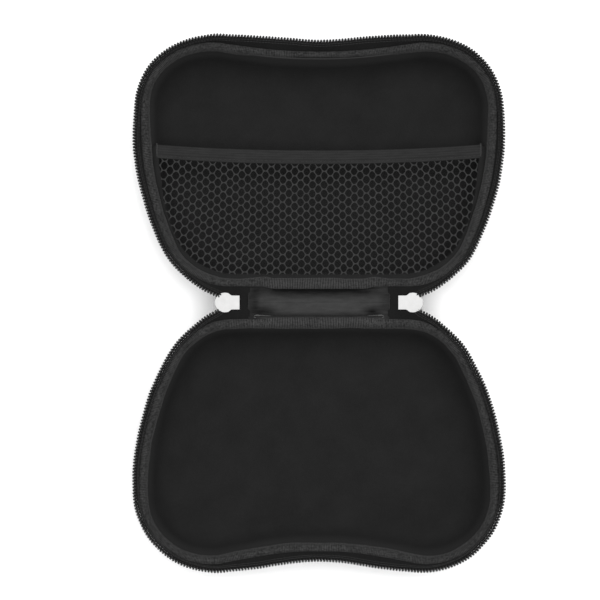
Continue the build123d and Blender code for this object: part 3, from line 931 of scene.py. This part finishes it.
def make_spine():
    for side in (BASE, LID):
        half = HALF_NAME[side]
        low, high = sorted((0.0, side * SPINE_HALF_WIDTH))
        lining = spine_sheet(half + "_spine_lining_cloth", low, high, 0.0, VELVET, 0.5 * MM)
        outer = spine_sheet(half + "_spine_outer_cloth", low * OUTER_SHARE, high * OUTER_SHARE, OUTER_DROP,
                            SHELL_FABRIC, 0.55 * MM, steps=40)
        fit(lining, "spine_velvet", side, *(["spine_lining"] if side == BASE else []))
        fit(outer, "hinge_fabric", side, *(["spine_outer_strip"] if side == BASE else []))


def make_spine_seams():
    """The lining's two short ends: a rolled edge with a row of thread, in halves that part at the hinge."""
    count = 24
    for side in (BASE, LID):
        rows = Bundle()
        y = np.linspace(0.0, 7.0 * MM, count) * side
        for end in (-1, 1):
            for inset, radius in ((0.2 * MM, 0.3 * MM), (1.5 * MM, 0.13 * MM)):
                x = np.full(count, SPINE_HALF_LENGTH - inset)
                z = spine_lining_height(x, y) + radius * 0.6 + 0.05 * MM * np.sin(np.arange(count) * 1.9)
                rows.add_tube(np.stack([end * x, y, z], 1), radius, 6)
        fit(rows.piece(HALF_NAME[side] + "_spine_end_seams", SEAM_THREAD), "thread", side)


# Loose thread ends by each bar tack: start across and along the hinge, length and slope, in millimetres.
LOOSE_ENDS = [(31.3, -6.35, 2.6, 0.0), (30.6, -6.0, 7.2, 0.07), (31.5, -6.9, 0.9, 0.6)]


def make_bar_tacks():
    """Zigzag sewing where the spine's lining ends on the base binding, with a few loose thread ends."""
    for end, name in ((-1, "left"), (1, "right")):
        draw = np.random.default_rng(50 + end)
        sewn, loose = Bundle(), Bundle()
        top = RIM_Z + 1.68 * MM + BINDING_THICK / 2 + RIB_HEIGHT
        edge = -8.3 + draw.normal(0, 0.35, 40)
        for k, x in enumerate(np.arange(22.6, 30.6, 0.5)):
            low, high = (edge[k], edge[k + 1] - 3.2) if k % 2 else (edge[k] - 3.2, edge[k + 1])
            y = np.linspace(low, high, 9) + draw.normal(0, 0.1, 9)
            crown = -0.22 * ((y + 10.1) / 1.7) ** 4
            line = [(end * (x + 0.5 * t + draw.normal(0, 0.08)) * MM, yy * MM, top + (c - 0.04) * MM)
                    for t, yy, c in zip(np.linspace(0, 1, 9), y, crown)]
            sewn.add_tube(line, 0.11 * MM, 6)
        upright = [(end * 31.4 * MM, y * MM, top + h * MM)
                   for y, h in ((-8.1, -0.9), (-8.6, -0.1), (-10.0, 0.12), (-11.6, 0.0), (-12.3, -0.9))]
        loose.add_tube(smooth_path(upright, 4), 0.17 * MM, 7)
        for start_x, y, reach, slope in LOOSE_ENDS:
            x = np.linspace(0, reach, 9)
            line = [(end * (start_x - q) * MM, (y - slope * q + 0.05 * sin(2.2 * q)) * MM,
                     TAPE_Z + (0.8 + 0.08 * cos(1.7 * q)) * MM) for q in x]
            loose.add_tube(line, (0.2 - 0.014 * x) * MM, 6)
        fit(sewn.piece(name + "_bar_tack_sewing", SEAM_THREAD), "thread", "base", name + "_bar_tack")
        fit(loose.piece(name + "_bar_tack_ends", PALE_THREAD), "thread", "base")


def make_zip_end_patches():
    """Folded ends of the zip tapes, from the spine to the sliders, in halves that part at the hinge."""
    n = 14
    for side in (BASE, LID):
        patches = Bundle()
        for end in (-1, 1):
            x = np.linspace(SPINE_HALF_LENGTH - 0.3 * MM, SLIDER_BOX[0].x - 0.25 * MM, n)
            y = side * 5.2 * MM * np.array([0.0, 0.006, *np.linspace(0.08, 1, n - 2)])
            grid_x, grid_y = np.meshgrid(x, y, indexing="ij")
            slub = 0.012 * MM * np.sin(grid_x / (0.4 * MM)) * np.cos(grid_y / (0.5 * MM))
            top = TAPE_Z + TAPE_THICK / 2 + 0.03 * MM + slub
            over = np.stack([end * grid_x, grid_y, top], 2).reshape(-1, 3)
            under = np.stack([end * grid_x, grid_y, top - 0.25 * MM], 2).reshape(-1, 3)
            flip = (end * side) < 0
            faces = grid_faces(n, n, flip=flip)
            count = len(over)
            faces += [tuple(i + count for i in face[::-1]) for face in faces]
            last = count - n
            rim = [*range(n), *range(2 * n - 1, count, n)]
            rim += [*range(count - 2, last - 1, -1), *range(last - n, 0, -n)]
            walls = [(a, a + count, b + count, b) for a, b in zip(rim, rim[1:] + rim[:1])]
            faces += [wall[::-1] for wall in walls] if flip else walls
            patches.add(np.concatenate([over, under]), faces)
        piece = patches.piece(HALF_NAME[side] + "_zip_end_patches", TAPE_FABRIC, flat_cloth=True)
        fit(piece, "zip_tape", side)


def make_leg_sewing():
    """A row of lock stitch just inside the edge of each leg of hinge fabric on the back walls."""
    for side in (BASE, LID):
        half = HALF_NAME[side]
        low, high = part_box(half + "_hinge_leg")
        inset, pitch = 1.6 * MM, 2.4 * MM
        x, top, bottom = high.x - inset, high.z - inset, low.z + inset
        corners = np.array([(-x, top), (-x, bottom), (x, bottom), (x, top)])
        rows = Bundle()
        for start, end in zip(corners, corners[1:]):
            length = np.linalg.norm(end - start)
            for k in range(int(length / pitch)):
                t = (np.linspace(0.12, 0.88, 5) + k) * pitch / length
                line = start + (end - start) * t[:, None]
                face = HALF_GAP + (RIM_Z - line[:, 1]) * tan(DRAFT) - LEG_THICK
                y = side * (face - np.array([-0.12, 0.1, 0.14, 0.1, -0.12]) * MM)
                rows.add_tube(np.stack([line[:, 0], y, line[:, 1]], 1), 0.16 * MM, 6, up=(0.3, 1, 0.2))
        fit(rows.piece(half + "_hinge_leg_sewing", THREAD), "thread", half)


make_spine()
make_spine_seams()
make_zip_end_patches()
make_leg_sewing()
make_bar_tacks()

# ---- mesh pocket

COLUMN, ROW, BAR = 2.86 * MM, 4.26 * MM, 1.06 * MM      # the knitted lattice: spacings and its level bars
NET_COLUMNS, NET_ROWS = 32, 20                  # enough to fill the pocket: columns each side of the middle
YARN = 0.40 * MM
SAME_POINT = 0.3 * MM
NET_BACK = HALF_GAP + 6.2 * MM
NET_BACK_Z, NET_FRONT_Z = NET_BOX[1].z - 0.5 * MM, HEM_BOX[1].z - 1.0 * MM
HEM_WIDTH = 6.6 * MM
HEM_LIFT = 2.9 * MM
HEM_HALF = HEM_BOX[1].x - 1.0 * MM
HEM_MIDDLE = HEM_BOX[1].y + 0.3 * MM


def hem_line(x):
    """Front edge of the pocket: it sags towards the hinge in the middle."""
    return HEM_MIDDLE + HEM_LIFT * np.abs(x / HEM_HALF) ** 2.2


def pocket_height(x, y):
    """The pocket's sheet: a slope from the back rim to the hem, hanging a little in the middle."""
    t = np.clip((y - NET_BACK) / (HEM_MIDDLE - NET_BACK), -0.2, 1.2)
    sag = 1.6 * MM * np.sin(pi * np.clip(t, 0, 1)) * np.cos(np.clip(x / (80 * MM), -1, 1) * pi / 2)
    return NET_BACK_Z + (NET_FRONT_Z - NET_BACK_Z) * t - sag


def rim_inset(x, y):
    """How far inside the lid's rim a point lies, and the distance along the rim beside it."""
    s = np.linspace(0, FULL_LENGTH, 900, endpoint=False)
    point, normal = relaxed_rim(LID, s)
    delta = np.stack([x, y], 1)[:, None] - point[None]
    nearest = np.argmin(np.sum(delta ** 2, 2), 1)
    return -np.sum(delta[np.arange(len(x)), nearest] * normal[nearest], 1), s[nearest]


def trim_inset(s):
    """Where the band round the net ends, in from the rim: wider beside the hinge and towards the hem."""
    d = from_back(s)
    return (5.3 + 1.4 * hump(s, 62 * MM, 18 * MM) + 1.9 * ease(d, 92 * MM, 122 * MM)) * MM


def net_warp(x, y):
    """Stretch of the lattice: rows follow the hem's sag and columns splay outwards towards the hinge."""
    side, along = x / (80 * MM), np.clip((y - NET_BACK) / (HEM_MIDDLE - NET_BACK), 0, 1)
    lift = HEM_LIFT * np.abs(side) ** 2.2 * (0.35 + 0.65 * along) + 1.0 * MM * side ** 2 * along
    splay = 5.0 * MM * side * (1 - along) * (0.5 + 0.5 * np.abs(side))
    return x + splay + 0.3 * MM * np.sin(y / (11 * MM)) * np.cos(x / (17 * MM)), y + lift


def make_net():
    """Knitted net of six-sided cells, rounded where the yarns meet."""
    reach = COLUMN - BAR / 2
    corners = [(-reach, 0), (-BAR / 2, ROW / 2), (BAR / 2, ROW / 2), (reach, 0), (BAR / 2, -ROW / 2),
               (-BAR / 2, -ROW / 2)]
    found, faces = {}, []
    for column in range(-NET_COLUMNS, NET_COLUMNS + 1):
        for row in range(NET_ROWS):
            centre_x = column * COLUMN
            centre_y = NET_BACK - 6 * MM + (row + 0.5 * (column % 2)) * ROW
            wx, wy = net_warp(np.array([centre_x]), np.array([centre_y]))
            inset, s = rim_inset(wx, wy)
            if inset[0] < trim_inset(s)[0] - 1.6 * MM or wy[0] > hem_line(wx[0]) - HEM_WIDTH + 2.0 * MM:
                continue
            face = []
            for dx, dy in corners:
                key = (round((centre_x + dx) / SAME_POINT), round((centre_y + dy) / SAME_POINT))
                face.append(found.setdefault(key, (len(found), centre_x + dx, centre_y + dy))[0])
            faces.append(face)
    flat = np.array([corner[1:] for corner in found.values()])
    draw = np.random.default_rng(5)
    flat = flat + draw.normal(0, 0.1 * MM, flat.shape)
    x, y = net_warp(flat[:, 0], flat[:, 1])
    points = np.stack([x, y, pocket_height(x, y)], 1)
    piece = new_mesh("pocket_net_knit", points, faces, NET_YARN)
    wire = piece.modifiers.new("yarn", "WIREFRAME")
    wire.thickness, wire.use_even_offset, wire.use_boundary, wire.use_replace = YARN, False, True, True
    rounder = piece.modifiers.new("round", "SUBSURF")
    rounder.levels = rounder.render_levels = 1
    fit(piece, "pocket_mesh", "lid", "pocket_net")
    return piece


TRIM_OUTER = 3.7 * MM


def make_edge_tape():
    """Soft band that binds the net's sides and back."""
    columns = 9
    s = np.linspace(-136 * MM, 136 * MM, 700)
    rim = relaxed_rim(LID, s)[0]
    s = s[rim[:, 1] < hem_line(rim[:, 0]) - 2.0 * MM]
    ragged = 0.12 * MM * np.sin(s / (0.9 * MM)) + 0.1 * MM * np.sin(s / (3.1 * MM))
    share = np.linspace(0, 1, columns)
    inset = TRIM_OUTER + (trim_inset(s) + ragged - TRIM_OUTER)[:, None] * share[None, :]
    points = place(LID, s, -inset, np.zeros_like(inset))
    roll = 0.45 * MM * np.sin(pi * share) ** 0.7 + 0.9 * MM * (1 - share) ** 2
    points[:, :, 2] = pocket_height(points[:, :, 0], points[:, :, 1]) + 0.05 * MM + roll[None, :]
    cloth = np.stack([np.repeat(s[:, None], columns, 1), inset], 2)
    piece = new_mesh("pocket_edge_band", points, grid_faces(len(s), columns), TRIM_FABRIC, cloth)
    thicken(piece, 0.6 * MM)
    fit(piece, "pocket_trim", "lid", "pocket_edge_tape")
    return piece


HEM_SEAM = 0.8                  # where across the hem its row of sewing runs


def hem_face(x, t):
    """Height of the hem's upper face, by place along it and share of the way across."""
    dome = np.sin(pi * np.clip(t, 0, 1))
    channel = -0.3 * MM * np.exp(-((t - HEM_SEAM) / 0.05) ** 2)
    gather = 0.08 * MM * np.sin(x / (0.55 * MM)) + 0.05 * MM * np.sin(x / (1.7 * MM) + 2)
    return 0.7 * MM * dome ** 0.5 + channel + gather * dome + 0.05 * MM * np.abs(np.sin(5 * pi * t))


def make_hem():
    """Elastic hem: a flat tube of woven elastic with one sewn channel near its lower edge."""
    x = np.linspace(-HEM_HALF, HEM_HALF, 420)
    t = np.linspace(0, 1, 27)
    y = hem_line(x)[:, None] - HEM_WIDTH * t[None, :]
    grid_x = np.repeat(x[:, None], len(t), 1)
    sheet = pocket_height(grid_x, y)
    over = np.stack([grid_x, y, sheet + 0.3 * MM + hem_face(grid_x, t[None, :])], 2)
    under = np.stack([grid_x, y, sheet - 0.15 * MM - 0.4 * MM * np.sin(pi * t)[None, :]], 2)
    points = np.concatenate([over, under[:, ::-1]], 1)
    columns = points.shape[1]
    v = np.concatenate([t, t[::-1]]) * HEM_WIDTH
    cloth = np.stack([np.repeat(x[:, None], columns, 1), np.tile(v, (len(x), 1))], 2)
    faces = grid_faces(len(x), columns, close_columns=True, flip=True)
    faces += [list(range(columns)), list(range((len(x) - 1) * columns, len(x) * columns))[::-1]]
    piece = new_mesh("pocket_hem_elastic", points, faces, ELASTIC, cloth)
    fit(piece, "pocket_elastic", "lid", "pocket_hem")
    return piece


def make_hem_sewing():
    """A row of lock stitch along the hem and a thick upright thread at each end."""
    rows = Bundle()
    pitch = 2.2 * MM
    for x in np.arange(-HEM_HALF + 2 * MM, HEM_HALF - 2 * MM, pitch):
        along = x + np.array([0.08, 0.2, 0.5, 0.8, 0.92]) * pitch
        y = hem_line(along) - HEM_WIDTH * HEM_SEAM
        z = pocket_height(along, y) + 0.3 * MM + hem_face(along, HEM_SEAM)
        z = z + np.array([-0.12, 0.06, 0.1, 0.06, -0.12]) * MM
        rows.add_tube(np.stack([along, y, z], 1), 0.13 * MM, 5)
    for end in (-1, 1):
        x = np.full(14, end * (HEM_HALF - 0.7 * MM))
        y = hem_line(x) + 0.6 * MM - np.linspace(0, 6.4 * MM, 14)
        z = pocket_height(x, y) + 0.45 * MM + hem_face(x, (hem_line(x) - y) / HEM_WIDTH)
        rows.add_tube(np.stack([x, y, z], 1), 0.3 * MM, 6)
    piece = rows.piece("pocket_hem_sewing", THREAD)
    fit(piece, "thread", "lid")
    return piece


pocket_net_piece = make_net()
pocket_trims = [make_edge_tape(), make_hem(), make_hem_sewing()]

# ---- materials of the CAD nodes that stay

CAD_MATERIALS = {"slider": ENAMEL, "pull_tab": ENAMEL, "hinge_leg": SHELL_FABRIC}
for node_name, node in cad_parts.items():
    if node.hide_render:
        continue
    kind = next(k for k in CAD_MATERIALS if node_name.endswith(k))
    node.data.materials.clear()
    node.data.materials.append(CAD_MATERIALS[kind])

# ---- stage, light and camera


STAGE_HALF, STAGE_DROP = 6.0, 0.2 * MM
SKY_STRENGTH, SUN_STRENGTH = 0.45, 4.2
SUN_SPREAD, SUN_TILT = radians(50), (radians(-6), radians(2), 0)
SEEN_WIDTH, CAMERA_DISTANCE = 290.3 * MM, 1.9
CAMERA_AIM = (-9.15 * MM, 1.21 * MM)


def make_stage():
    material = Material("stage_floor", 0.9, specular=0.1)
    material.shader.inputs["Base Color"].default_value = (0.93, 0.93, 0.93, 1)
    corners = [(x * STAGE_HALF, y * STAGE_HALF, 0) for x, y in ((-1, -1), (1, -1), (1, 1), (-1, 1))]
    plane = new_mesh("stage_floor", corners, [(0, 1, 2, 3)], material.material, smooth=False)
    plane.location.z = -STAGE_DROP


def make_light():
    world = bpy.data.worlds.new("studio")
    bpy.context.scene.world = world
    world.use_nodes = True
    sky = world.node_tree.nodes["Background"].inputs
    sky["Color"].default_value = (1, 1, 1, 1)
    sky["Strength"].default_value = SKY_STRENGTH
    overhead = bpy.data.lights.new("overhead", "SUN")
    overhead.energy, overhead.angle = SUN_STRENGTH, SUN_SPREAD
    holder = bpy.data.objects.new("overhead", overhead)
    holder.rotation_euler = SUN_TILT
    bpy.context.scene.collection.objects.link(holder)


def make_camera():
    """Straight down, from far enough that the walls look nearly upright."""
    data = bpy.data.cameras.new("camera")
    camera = bpy.data.objects.new("camera", data)
    bpy.context.scene.collection.objects.link(camera)
    data.sensor_width = 36.0
    data.lens = data.sensor_width * CAMERA_DISTANCE / SEEN_WIDTH
    camera.location = (*CAMERA_AIM, RIM_Z + CAMERA_DISTANCE)
    bpy.context.scene.camera = camera


make_stage()
make_light()
make_camera()
bpy.context.scene.view_settings.view_transform = "Standard"
bpy.context.scene.view_settings.look = "None"
